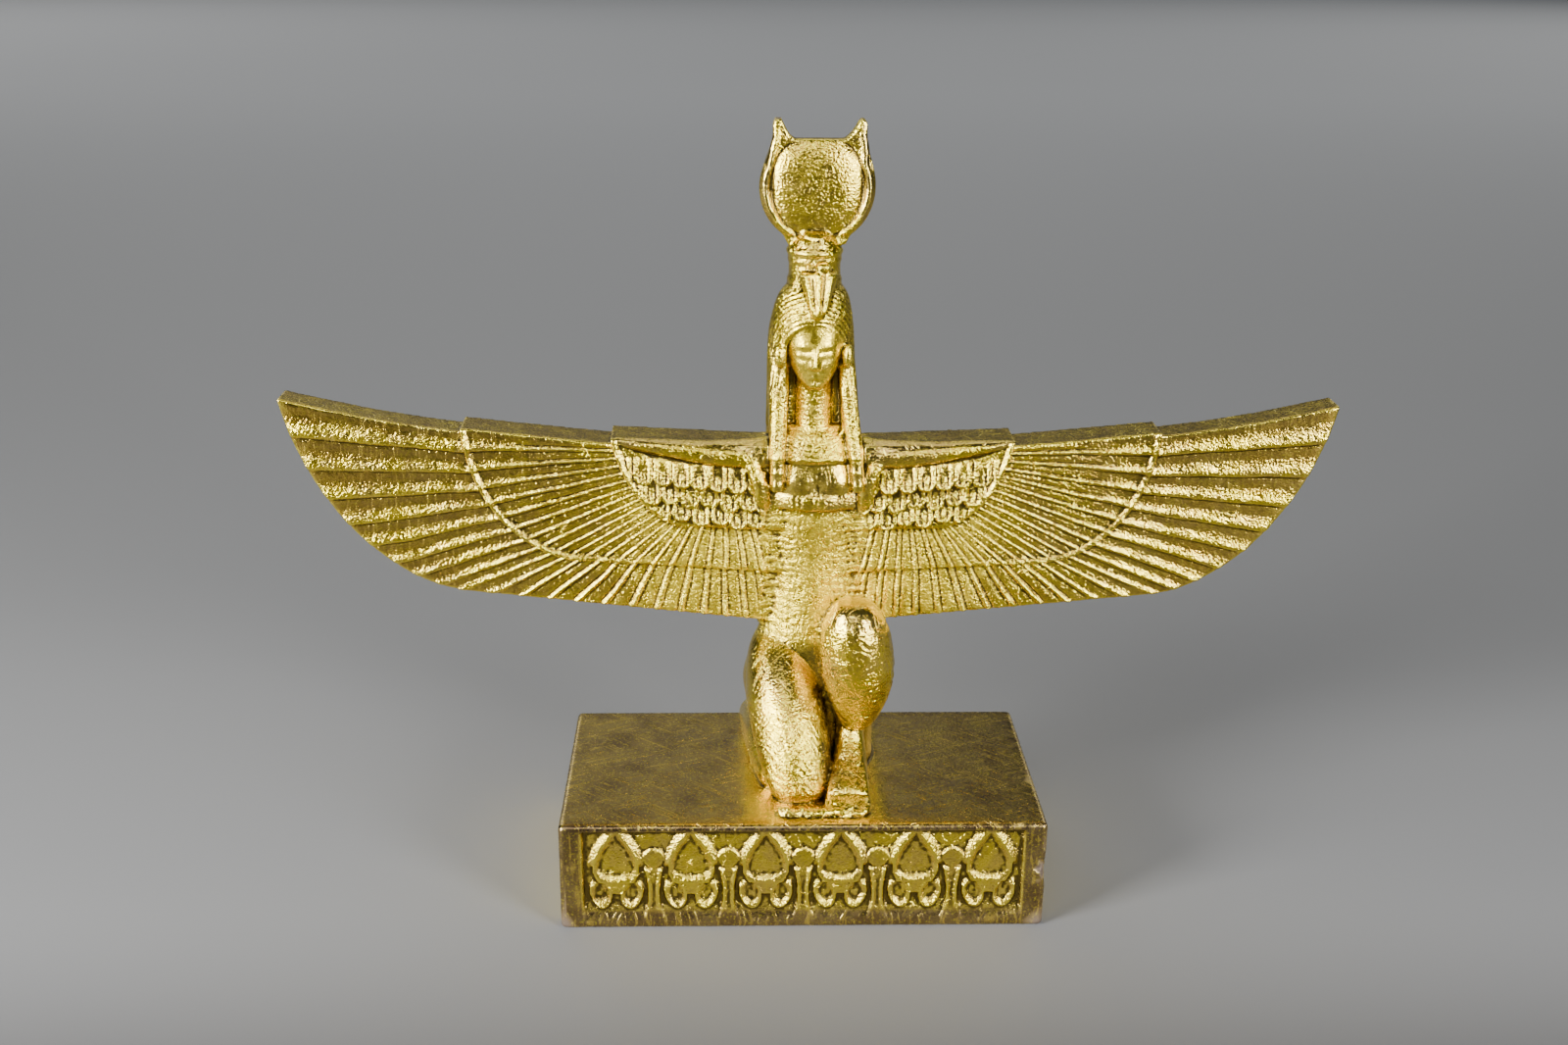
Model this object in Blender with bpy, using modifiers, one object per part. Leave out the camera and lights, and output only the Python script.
"""Gilded souvenir statue of a kneeling winged goddess on a rectangular plinth, cast in one piece.

Lengths are in millimetres here and become metres where a mesh is made. +Z is up and the figure faces -Y.
x is drawn from the middle of the head's axis; ORIGIN_X, midway between the wing tips, becomes the
model's x = 0. The origin is on the ground, midway through the plinth's depth.
"""

from math import cos, pi, sin

import bmesh
import bpy
from mathutils import Vector

MM = 0.001
ORIGIN_X = -1.33
NAME = "isis_statue"

# Plinth
PLINTH_WIDTH = 138.0
PLINTH_DEPTH = 74.4
PLINTH_HEIGHT = 33.0
PLINTH_CENTRE_X = -3.0
PLINTH_EDGE = 1.6
FRIEZE_DEPTH = 1.4
FRIEZE_MARGIN_TOP = 1.6
FRIEZE_MARGIN_SIDE = 3.0
FRIEZE_MARGIN_BOTTOM = 2.4
MOTIFS = 6
MOTIF_PITCH = 21.2

# Wings: distances out from the figure's axis (u) and heights (z) of the three layers of feathers
WING_BACK_Y = 10.0
WING_ROOT_U = 5.0
FEATHERS = 22
RIB_HEIGHT = 0.75
LAYER_STEP = 1.6
OUTER_FRONT_Y = 0.0
MIDDLE_FRONT_Y = OUTER_FRONT_Y - LAYER_STEP
INNER_FRONT_Y = MIDDLE_FRONT_Y - LAYER_STEP
OUTER_BORDER = {"start": (9.0, 79.3), "bend": (98.0, 88.3), "pulls": ((118.0, 90.5), (141.0, 112.0)),
                "end": (148.0, 145.5)}
MIDDLE_BORDER = {"start": (8.0, 95.1), "bend": (66.0, 98.6), "pulls": ((80.0, 99.5), (96.0, 113.0)),
                 "end": (98.0, 137.8)}
INNER_BORDER = {"start": (7.0, 108.4), "bend": (36.0, 109.4), "pulls": ((45.0, 110.0), (53.5, 121.0)),
                "end": (56.5, 135.4)}
FEATHER_ORIGIN = (30.0, 118.0)
FEATHER_COVER = 0.12
OUTER_CROWDING = 1.25
INNER_CROWDING = 0.7
WING_TURN = 0.02
WING_REACH = {-1: 1.013, 1: 0.995}
COVERTS_TOP_Z = 133.2
SCALE_ROWS = 3
SCALE_PITCH = 5.3
SCALE_START_U = 13.5
SCALE_TOP_Z = 126.5
SCALE_ROW_HEIGHT = 6.4
SCALE_COUNTS = (7, 6, 5)
SCALE_RISE = 0.45
ARM_STATIONS = ((5.0, 3.0, 129.5, 6.0), (14.0, 1.0, 129.8, 5.4), (28.0, -1.2, 130.6, 4.2),
                (42.0, -2.0, 132.4, 3.0), (52.0, -2.2, 134.0, 1.9), (56.2, -2.0, 134.5, 1.2))
STRAP_POINTS = ((18.6, -4.6, 129.2), (16.6, -5.2, 126.4), (14.2, -5.6, 122.4), (13.6, -4.6, 115.8))
STRAP_HALF = 1.3
ROOT_STATIONS = ((5.0, 90.0, 5.5, 4.5), (5.0, 82.0, 6.2, 4.5), (5.0, 76.0, 4.6, 4.0))
ROOT_U = 11.0

# Figure
TORSO_X = 0.8
CHEST_BAND_LOW = 115.2
CHEST_BAND_HIGH = 119.6
CHEST_BAND_RISE = 0.8
HEAD_X = -0.4
HEAD_Y = 3.0
FACE_OPENING_HALF = 7.3
FACE_OPENING_SPRING_Z = 162.0
FACE_OPENING_RISE = 7.2
DISC_CENTRE = (-0.2, 3.0, 205.0)
DISC_RADIUS = 12.3
DISC_THICKNESS = 5.0
HORN_RADIUS = 15.7
HORN_LEAN = 0.035
SMOOTH_ANGLE = 0.6
TRIANGLE_SHARE = 0.55


# Scene and small helpers

def clear_scene():
    for item in list(bpy.data.objects):
        bpy.data.objects.remove(item, do_unlink=True)


def new_collection(name):
    group = bpy.data.collections.new(name)
    bpy.context.scene.collection.children.link(group)
    return group


def gold_leaf():
    material = bpy.data.materials.new("gold_leaf")
    material.use_nodes = True
    shader = material.node_tree.nodes["Principled BSDF"]
    shader.inputs["Base Color"].default_value = (0.83, 0.58, 0.17, 1.0)
    shader.inputs["Metallic"].default_value = 1.0
    shader.inputs["Roughness"].default_value = 0.32
    return material


def object_from(mesh_tool, name, group):
    """Turn a bmesh in millimetres into an object in metres."""
    bmesh.ops.recalc_face_normals(mesh_tool, faces=mesh_tool.faces)
    mesh_tool.normal_update()
    bmesh.ops.triangulate(mesh_tool, faces=mesh_tool.faces)
    bmesh.ops.translate(mesh_tool, vec=(-ORIGIN_X, 0, 0), verts=mesh_tool.verts)
    bmesh.ops.scale(mesh_tool, vec=(MM, MM, MM), verts=mesh_tool.verts)
    mesh = bpy.data.meshes.new(name)
    mesh_tool.to_mesh(mesh)
    mesh_tool.free()
    piece = bpy.data.objects.new(name, mesh)
    group.objects.link(piece)
    return piece


def loft(rings, name, group):
    """A closed body through rings that hold the same number of points, capped at both ends."""
    tool = bmesh.new()
    loops = [[tool.verts.new(point) for point in ring] for ring in rings]
    count = len(loops[0])
    for low, high in zip(loops, loops[1:]):
        for i in range(count):
            j = (i + 1) % count
            tool.faces.new((low[i], low[j], high[j], high[i]))
    tool.faces.new(loops[0])
    tool.faces.new(loops[-1])
    return object_from(tool, name, group)


def spread(curve_point, count, low=0.0, high=1.0):
    return [curve_point(low + (high - low) * i / (count - 1)) for i in range(count)]


def between(a, b, t):
    return tuple(p + (q - p) * t for p, q in zip(a, b))


def oval(centre, half_x, half_y, count=20, power=2.0):
    """A level ring; a power above 2 squares it up."""
    ring = []
    for i in range(count):
        angle = 2 * pi * i / count
        c, s = cos(angle), sin(angle)
        scale = (abs(c) ** power + abs(s) ** power) ** (-1 / power)
        ring.append((centre[0] + half_x * c * scale, centre[1] + half_y * s * scale, centre[2]))
    return ring


def column(stations, name, group, count=20, power=2.0):
    """A loft of level ovals: each station is x, y, z, half width and half depth."""
    rings = [oval(station[:3], station[3], station[4], count, power) for station in stations]
    return loft(rings, name, group)


def limb(stations, name, group, count=14):
    """A rounded limb: each station is x, y, z, half width across and half width the other way."""
    centres = [Vector(station[:3]) for station in stations]
    rings = []
    for i, station in enumerate(stations):
        ahead = centres[min(i + 1, len(centres) - 1)] - centres[max(i - 1, 0)]
        ahead.normalize()
        across = (Vector((1, 0, 0)) - ahead * ahead.x).normalized()
        other = ahead.cross(across)
        rings.append([centres[i] + across * (station[3] * cos(2 * pi * k / count))
                      + other * (station[4] * sin(2 * pi * k / count)) for k in range(count)])
    return loft(rings, name, group)


def ball(centre, radii, name, group, segments=20, rings=12):
    tool = bmesh.new()
    bmesh.ops.create_uvsphere(tool, u_segments=segments, v_segments=rings, radius=1.0)
    bmesh.ops.scale(tool, vec=radii, verts=tool.verts)
    bmesh.ops.translate(tool, vec=centre, verts=tool.verts)
    return object_from(tool, name, group)


def block(low, high, name, group):
    tool = bmesh.new()
    bmesh.ops.create_cube(tool, size=1.0)
    bmesh.ops.scale(tool, vec=[b - a for a, b in zip(low, high)], verts=tool.verts)
    bmesh.ops.translate(tool, vec=[(a + b) / 2 for a, b in zip(low, high)], verts=tool.verts)
    return object_from(tool, name, group)


def cushion(outline, back_y, front_y, name, group, shrink=0.72, shoulder=0.5):
    """An outline in x and z raised from back_y to front_y, with its front edge rounded off."""
    centre_x = sum(x for x, _ in outline) / len(outline)
    centre_z = sum(z for _, z in outline) / len(outline)
    middle_y = front_y + (back_y - front_y) * shoulder
    small = [(centre_x + (x - centre_x) * shrink, centre_z + (z - centre_z) * shrink) for x, z in outline]
    rings = [[(x, back_y, z) for x, z in outline], [(x, middle_y, z) for x, z in outline],
             [(x, front_y, z) for x, z in small]]
    return loft(rings, name, group)


# Plinth

def petal_outline(centre_x, half_width, low_z, high_z, count=8):
    """A bud: a narrower foot, its widest at a quarter of its height, then two bowed sides to a point."""
    side = []
    for i in range(count):
        t = i / (count - 1)
        width = 0.8 + 0.2 * sin(pi / 2 * t / 0.22) if t < 0.22 else 1 - ((t - 0.22) / 0.78) ** 2
        side.append((half_width * width, low_z + (high_z - low_z) * t))
    right = [(centre_x + x, z) for x, z in side[:-1]]
    left = [(centre_x - x, z) for x, z in reversed(side[:-1])]
    return right + [(centre_x, high_z)] + left


def lobe_outline(centre_x, half_width, low_z, high_z, count=12):
    middle_z = (low_z + high_z) / 2
    half_height = (high_z - low_z) / 2
    angles = [2 * pi * i / count for i in range(count)]
    return [(centre_x + half_width * cos(a), middle_z + half_height * sin(a)) for a in angles]


def stem_outline(centre_x):
    half_widths = ((3.0, 3.0), (1.9, 6.5), (1.15, 11.5), (1.5, 15.5), (2.2, 18.3))
    right = [(centre_x + half, z) for half, z in half_widths]
    left = [(centre_x - half, z) for half, z in reversed(half_widths)]
    return right + left


def plinth(shapes, cutters):
    low_x = PLINTH_CENTRE_X - PLINTH_WIDTH / 2
    high_x = PLINTH_CENTRE_X + PLINTH_WIDTH / 2
    front_y = -PLINTH_DEPTH / 2
    body = block((low_x, front_y, 0), (high_x, -front_y, PLINTH_HEIGHT), NAME, shapes)
    bevel = body.modifiers.new("worn edges", "BEVEL")
    bevel.width = PLINTH_EDGE * MM
    bevel.segments = 2
    field = block((low_x + FRIEZE_MARGIN_SIDE, front_y - FRIEZE_MARGIN_SIDE, FRIEZE_MARGIN_BOTTOM),
                  (high_x - FRIEZE_MARGIN_SIDE, front_y + FRIEZE_DEPTH, PLINTH_HEIGHT - FRIEZE_MARGIN_TOP),
                  "frieze_field", cutters)
    return body, field


def frieze(cutters):
    """Six petals with paired lobes under them, and a ring on a flared stem between neighbours."""
    front_y = -PLINTH_DEPTH / 2
    back_y = front_y + FRIEZE_DEPTH + 1.0
    pieces = []
    for i in range(MOTIFS):
        x = PLINTH_CENTRE_X + (i - (MOTIFS - 1) / 2) * MOTIF_PITCH
        pieces.append(cushion(petal_outline(x, 6.9, 14.6, 30.4), back_y, front_y, f"petal_{i + 1}", cutters))
        for side in (-1, 1):
            pieces.append(cushion(lobe_outline(x + 3.5 * side, 2.8, 5.0, 14.0), back_y, front_y + 0.2,
                                  f"lobe_{i + 1}_{side}", cutters))
    for i in range(MOTIFS - 1):
        x = PLINTH_CENTRE_X + (i - (MOTIFS - 2) / 2) * MOTIF_PITCH
        ring = lobe_outline(x, 2.7, 19.2, 24.8)
        pieces.append(cushion(ring, back_y, front_y + 0.1, f"ring_{i + 1}", cutters))
        pieces.append(cushion(stem_outline(x), back_y, front_y + 0.3, f"stem_{i + 1}", cutters, shrink=0.8))
    return pieces


# Wings

def sweep_point(border, s):
    """The curved stretch of a layer's edge, from its bend (s = 0) to its upper end (s = 1)."""
    points = (border["bend"], *border["pulls"], border["end"])
    weights = ((1 - s) ** 3, 3 * s * (1 - s) ** 2, 3 * s * s * (1 - s), s ** 3)
    return tuple(sum(w * p[axis] for w, p in zip(weights, points)) for axis in (0, 1))


def border_point(border, t):
    """A layer's edge: straight along the underside, then the curve; t runs 0 to 1."""
    straight = (Vector(border["bend"]) - Vector(border["start"])).length
    sweep = (Vector(border["end"]) - Vector(border["bend"])).length * 1.12
    switch = straight / (straight + sweep)
    if t <= switch:
        return between(border["start"], border["bend"], t / switch)
    return sweep_point(border, (t - switch) / (1 - switch))


def rib(phase):
    """Height of one feather across its width: a raised shaft, then a vane that falls to the next groove."""
    knots = ((0.0, 0.0), (0.08, 1.0), (0.30, 1.0), (0.38, 0.45), (1.0, 0.12))
    for (p0, h0), (p1, h1) in zip(knots, knots[1:]):
        if phase <= p1:
            return h0 + (h1 - h0) * (phase - p0) / (p1 - p0)
    return knots[-1][1]


def toward_root(border, crowding):
    """The same border pulled in towards the arm, so that the next layer covers it."""
    def pulled(t):
        return between(border_point(border, t ** crowding), FEATHER_ORIGIN, FEATHER_COVER)
    return pulled


def turned(side, u, y, z):
    """A point of a wing: the pair stands turned a little, so the +X wing comes forward."""
    x = side * u * WING_REACH[side]
    return (x, y - WING_TURN * x, z)


def feather_layer(inner, outer, crowding, front_y, back_y, side, name, group):
    """A slab whose front carries feathers that run straight from one border to the other."""
    phases = (0.0, 0.08, 0.30, 0.38)
    stations = [((k + phase) / FEATHERS, rib(phase)) for k in range(FEATHERS) for phase in phases]
    rings = []
    for station, height in stations + [(1.0, 0.0)]:
        near, far = inner(station), border_point(outer, station ** crowding)
        front = front_y - RIB_HEIGHT * height
        rings.append([turned(side, near[0], back_y, near[1]), turned(side, near[0], front, near[1]),
                      turned(side, far[0], front, far[1]), turned(side, far[0], back_y, far[1])])
    return loft(rings, name, group)


def scale_row(side, row, group):
    """A strip of overlapping U-shaped feathers: its lower edge is a run of half rounds."""
    low_z = SCALE_TOP_Z - SCALE_ROW_HEIGHT * (row + 1)
    count = SCALE_COUNTS[row]
    half = SCALE_PITCH / 2
    edge = []
    angles = spread(lambda t: pi * t, 6)[:-1]
    for k in range(count):
        middle = SCALE_START_U + half + k * SCALE_PITCH
        edge += [(middle - half * cos(a), low_z + half * (1 - sin(a))) for a in angles]
    edge.append((SCALE_START_U + count * SCALE_PITCH, low_z + half))
    top_z = SCALE_TOP_Z + 4.0
    outline = [(SCALE_START_U, top_z)] + edge + [(edge[-1][0], top_z)]
    front = INNER_FRONT_Y - SCALE_RISE * (SCALE_ROWS - row)
    rings = [[turned(side, u, y, z) for u, z in outline] for y in (OUTER_FRONT_Y, front)]
    return loft(rings, f"scales_{row + 1}_{side}", group)


def wing(side, group):
    """One wing: side is -1 towards -X and 1 towards +X."""
    primaries = feather_layer(toward_root(MIDDLE_BORDER, 1.0), OUTER_BORDER, OUTER_CROWDING, OUTER_FRONT_Y,
                              WING_BACK_Y, side, f"primaries_{side}", group)
    secondaries = feather_layer(toward_root(INNER_BORDER, INNER_CROWDING), MIDDLE_BORDER, 1.0, MIDDLE_FRONT_Y,
                                WING_BACK_Y + 0.5, side, f"secondaries_{side}", group)
    pieces = [primaries, secondaries]
    edge = spread(lambda s: sweep_point(INNER_BORDER, s), 10)
    outline = [(WING_ROOT_U, COVERTS_TOP_Z), (WING_ROOT_U, INNER_BORDER["start"][1])] + edge
    rings = [[turned(side, u, y, z) for u, z in outline] for y in (WING_BACK_Y + 1.0, INNER_FRONT_Y)]
    pieces.append(loft(rings, f"coverts_{side}", group))
    pieces += [scale_row(side, row, group) for row in range(SCALE_ROWS)]
    arm = [(*turned(side, u, y, z), half, half) for u, y, z, half in ARM_STATIONS]
    pieces.append(limb(arm, f"arm_{side}", group, count=12))
    strap = [(*turned(side, u, y, z), STRAP_HALF, STRAP_HALF) for u, y, z in STRAP_POINTS]
    pieces.append(limb(strap, f"strap_{side}", group, count=8))
    fillet = [(side * ROOT_U, *station) for station in ROOT_STATIONS]
    pieces.append(column(fillet, f"root_{side}", group, count=12))
    return pieces


# Figure

def torso(group):
    stations = [(0.2, 8.0, 52, 19.2, 15.5), (0.0, 8.0, 60, 19.8, 15.0), (0.4, 6.5, 70, 17.6, 12.2),
                (TORSO_X, 5.2, 80, 15.0, 10.0), (TORSO_X, 4.6, 90, 12.9, 8.8), (TORSO_X, 4.2, 102, 13.0, 8.6),
                (TORSO_X, 4.0, 112, 14.0, 9.2), (TORSO_X, 4.0, 120, 14.2, 9.6), (0.4, 3.6, 128, 13.4, 8.8),
                (0.0, 3.4, 134, 11.8, 7.2), (HEAD_X, 3.2, 139, 8.5, 5.6)]
    pieces = [column(stations, "torso", group, count=24)]
    for side in (-1, 1):
        centre = (TORSO_X + 5.6 * side, -3.2, 122.5)
        pieces.append(ball(centre, (5.0, 4.4, 5.2), f"breast_{side}", group, segments=14, rings=8))
    edge = CHEST_BAND_RISE / 2
    levels = ((CHEST_BAND_LOW, 0.0), (CHEST_BAND_LOW + edge, CHEST_BAND_RISE),
              (CHEST_BAND_HIGH - edge, CHEST_BAND_RISE), (CHEST_BAND_HIGH, 0.0))
    band = [(TORSO_X, 4.0, z, 14.2 + grow, 9.9 + grow) for z, grow in levels]
    pieces.append(column(band, "chest_band", group, count=24))
    collar = [(0.0, 1.5, z, x, y) for z, x, y in ((128.5, 11.5, 9.6), (131.0, 10.8, 8.6), (134.5, 8.6, 7.0),
                                                  (137.5, 6.6, 5.6))]
    pieces.append(column(collar, "collar", group, count=20))
    return pieces


def limb_along_x(stations, name, group, count=10):
    rings = [[(x, y + w * cos(2 * pi * k / count), z + h * sin(2 * pi * k / count)) for k in range(count)]
             for x, y, z, w, h in stations]
    return loft(rings, name, group)


def legs(group):
    """The right knee is on the ground and the left one is raised."""
    pieces = [
        limb([(-8.8, 8, 75, 6.0, 6.5), (-9.4, 5, 70, 8.6, 9.0), (-8.6, -3, 60, 10.6, 10.5),
              (-6.0, -11, 50, 11.0, 10.8), (-4.4, -16.5, 42, 10.3, 9.6), (-4.0, -19.5, 36, 8.6, 7.6),
              (-4.0, -21, 32.6, 6.0, 5.0)], "kneeling_thigh", group, 18),
        limb([(-5.0, -16, 37, 9.8, 6.4), (-8.0, -4, 38, 9.8, 7.8), (-10.0, 8, 39, 9.6, 8.4),
              (-12.5, 20, 38, 8.0, 7.4), (-15.5, 29, 36.5, 5.6, 5.2), (-17.0, 33.5, 34.5, 3.4, 3.0)],
             "kneeling_shin", group, 16),
        limb([(9.0, 12, 66, 9.4, 9.0), (11.0, 4, 72, 9.6, 9.2), (12.0, -5, 79, 9.4, 8.6),
              (12.0, -11, 84.5, 8.0, 6.8), (11.6, -15, 87.6, 5.4, 4.4)], "raised_thigh", group, 16),
        limb([(10.9, -14.2, 91.4, 3.6, 3.0), (11.1, -13.6, 88.8, 6.8, 6.4), (12.0, -12.6, 81.5, 9.6, 9.4),
              (12.9, -11.2, 71.5, 10.6, 10.2), (13.3, -9.8, 63.0, 9.6, 9.2), (12.7, -9.2, 55.5, 6.9, 7.2),
              (12.1, -9.0, 51.6, 4.8, 5.6)], "raised_shin", group, 18),
        limb([(11.2, -7.5, 56, 4.2, 4.6), (11.4, -7.6, 48, 4.4, 4.6), (11.2, -8.0, 41, 5.0, 5.6),
              (10.6, -9.0, 34, 6.0, 8.0), (10.6, -9.0, 31, 6.0, 8.0)], "ankle", group, 14),
        limb([(11.0, -4, 37.5, 4.6, 5.4), (10.6, -12, 37.8, 5.8, 4.6), (10.2, -20, 36.4, 6.8, 3.6),
              (9.8, -27.5, 35.2, 7.2, 2.9), (9.6, -32.0, 34.4, 6.6, 2.0)], "foot", group, 14),
        column([(2.0, 10, 30, 17.5, 20), (1.6, 10, 38, 17.6, 19), (1.2, 9, 46, 18.0, 17),
                (1.0, 8, 54, 18.4, 15)], "seat", group, count=22)]
    ridge = [(x, -31.4, 33.6, 1.3, 2.0) for x in (-9.5, -6, -1, 4, 9, 14.6)]
    toes = [(x, y - 0.6 * sin(1.3 * x), z, w, h) for x, y, z, w, h in ridge]
    pieces.append(limb_along_x(toes, "hem_ridge", group))
    return pieces


def head(group):
    x, y = HEAD_X, HEAD_Y
    pieces = [
        column([(x, y - 0.5, 131, 5.6, 5.4), (x, y - 0.5, 138, 5.3, 5.0), (x, y - 0.8, 151, 5.2, 5.0),
                (x, y - 1.0, 156, 5.2, 5.0)], "neck", group, count=16),
        column([(x, y - 5.4, 150.0, 2.6, 2.6), (x, y - 5.0, 151.2, 4.2, 4.4), (x, y - 4.6, 154.4, 6.0, 6.2),
                (x, y - 4.2, 159.5, 7.4, 7.4), (x, y - 4.0, 165.0, 8.0, 7.8), (x, y - 3.8, 170.5, 7.8, 7.4)],
               "face", group, count=20),
        column([(x, y - 12.2, 157.0, 1.5, 1.2), (x, y - 12.0, 158.0, 1.5, 1.5), (x, y - 11.6, 161, 1.0, 1.2),
                (x, y - 11.2, 164.8, 0.8, 0.9)], "nose", group, count=8)]
    return pieces


def wig(group, cutters):
    x = HEAD_X - 0.4
    y = HEAD_Y + 1.0
    stations = [(x, y + 1.0, 126, 12.9, 8.2), (x, y + 0.8, 131, 13.0, 8.8), (x, y + 0.4, 140, 12.7, 9.8),
                (x - 0.2, y, 150, 12.3, 10.8), (x - 0.4, y - 0.2, 160, 12.0, 11.6),
                (x - 0.4, y - 0.6, 166, 11.6, 11.6), (x - 0.2, y - 1.0, 171, 10.8, 11.0),
                (x, y - 1.0, 175, 9.7, 9.8), (x + 0.2, y - 1.0, 178.4, 8.2, 8.2),
                (x + 0.2, y - 1.0, 181.5, 7.2, 7.2)]
    hair = column(stations, "hair", group, count=24)
    arch = [(HEAD_X + FACE_OPENING_HALF * cos(a), FACE_OPENING_SPRING_Z + FACE_OPENING_RISE * sin(a))
            for a in spread(lambda t: pi * t, 9)]
    outline = [(HEAD_X + FACE_OPENING_HALF, 120.0)] + arch[1:-1] + [(HEAD_X - FACE_OPENING_HALF, 120.0)]
    depths = (-12.0, HEAD_Y - 1.5)
    cutter = loft([[(px, py, pz) for px, pz in outline] for py in depths], "face_opening", cutters)
    lappets = []
    for side in (-1, 1):
        inner_top, outer_top = HEAD_X + 7.0 * side, HEAD_X - 0.4 + 12.3 * side
        inner_low, outer_low = TORSO_X + 9.2 * side, TORSO_X + 13.2 * side
        rings = []
        for z, t, front in ((150, 0.0, -4.5), (140, 0.35, -5.6), (131, 0.8, -7.4), (122, 1.0, -7.6)):
            inner, outer = between((inner_top, outer_top), (inner_low, outer_low), t)
            rings.append([(inner, front, z), (outer, front, z), (outer, 3.0, z), (inner, 3.0, z)])
        lappets.append(loft(rings, f"lappet_{side}", group))
    return hair, cutter, lappets


def headdress(group):
    x = HEAD_X - 0.2
    profile = ((177.5, 7.4), (180.3, 7.4), (180.5, 8.0), (181.6, 8.0), (181.9, 7.2),
               (185.8, 7.2), (186.1, 7.9), (188.8, 7.9), (189.2, 7.2), (191.5, 7.0))
    pieces = [column([(x, HEAD_Y, z, r, r) for z, r in profile], "modius", group, count=20)]
    cx, cy, cz = DISC_CENTRE
    round_side = [(HORN_RADIUS * cos(a), HORN_RADIUS * sin(a)) for a in spread(lambda t: -0.95 + 1.25 * t, 7)]
    horn = [(13.7, 9.0), (12.7, 12.4), (12.7, 15.6), (12.1, 17.7), (10.6, 18.0), (9.0, 15.6), (6.9, 12.9)]
    side = [(7.8, -15.4)] + round_side + horn
    outline = [(cx + u + HORN_LEAN * max(0.0, w), cz + w) for u, w in side]
    outline += [(cx - u + HORN_LEAN * max(0.0, w), cz + w) for u, w in reversed(side)]
    half = DISC_THICKNESS / 2
    steps = ((0.955, cy + half), (1.0, cy + half * 0.5), (1.0, cy - half * 0.5), (0.955, cy - half))
    rings = [[(cx + (u - cx) * k, yy, cz + (w - cz) * k) for u, w in outline] for k, yy in steps]
    pieces.append(loft(rings, "horns", group))
    lens = []
    for k in (1.0, 0.9, 0.6, 0.25):
        depth = half + 2.2 * (1 - k * k)
        lens.append([(cx + DISC_RADIUS * k * cos(2 * pi * i / 28), cy - depth,
                      cz + DISC_RADIUS * k * sin(2 * pi * i / 28)) for i in range(28)])
    base = [[(px, cy, pz) for px, _, pz in lens[0]]]
    pieces.append(loft(base + lens, "sun_disc", group))
    fan = ((-6.6, 172.8, 1.9), (-6.4, 174.0, 2.4), (-4.6, 179.0, 3.4), (-3.6, 183.5, 4.5), (-3.2, 184.6, 4.0))
    pieces.append(column([(x + 0.8, yy, z, w, 2.6) for yy, z, w in fan], "crest", group, count=12, power=3.0))
    pieces.append(ball((x + 1.6, -5.0, 186.8), (1.9, 1.7, 1.5), "serpent_head", group, 10, 6))
    for offset in (-0.9, 1.6):
        bar = [(x + offset, cy - 3.0, z, 0.6, 1.4) for z in (188.0, 192.6)]
        pieces.append(column(bar, f"bar_{offset}", group, count=8))
    return pieces


# Assembly

def boolean(body, other, operation):
    step = body.modifiers.new(other.name, "BOOLEAN")
    step.operation = operation
    step.solver = "EXACT"
    step.object = other


def hide(pieces):
    for piece in pieces:
        piece.hide_render = True
        piece.display_type = "WIRE"


def main():
    clear_scene()
    shapes = new_collection("isis_statue")
    tools = new_collection("isis_statue_tools")
    joined = new_collection("isis_statue_joined")
    body, field = plinth(shapes, tools)
    hair, opening, lappets = wig(tools, tools)
    boolean(hair, opening, "DIFFERENCE")
    added = frieze(tools) + torso(tools) + legs(tools) + [hair] + lappets + head(tools) + headdress(tools)
    for side in (-1, 1):
        added += wing(side, tools)
    boolean(body, field, "DIFFERENCE")
    for piece in added:
        tools.objects.unlink(piece)
        joined.objects.link(piece)
    union = body.modifiers.new("one casting", "BOOLEAN")
    union.operation = "UNION"
    union.solver = "EXACT"
    union.operand_type = "COLLECTION"
    union.collection = joined
    thin = body.modifiers.new("fewer triangles", "DECIMATE")
    thin.ratio = TRIANGLE_SHARE
    hide([field, opening] + added)
    body.data.materials.append(gold_leaf())
    body.data.shade_smooth()
    body.data.set_sharp_from_angle(angle=SMOOTH_ANGLE)


main()
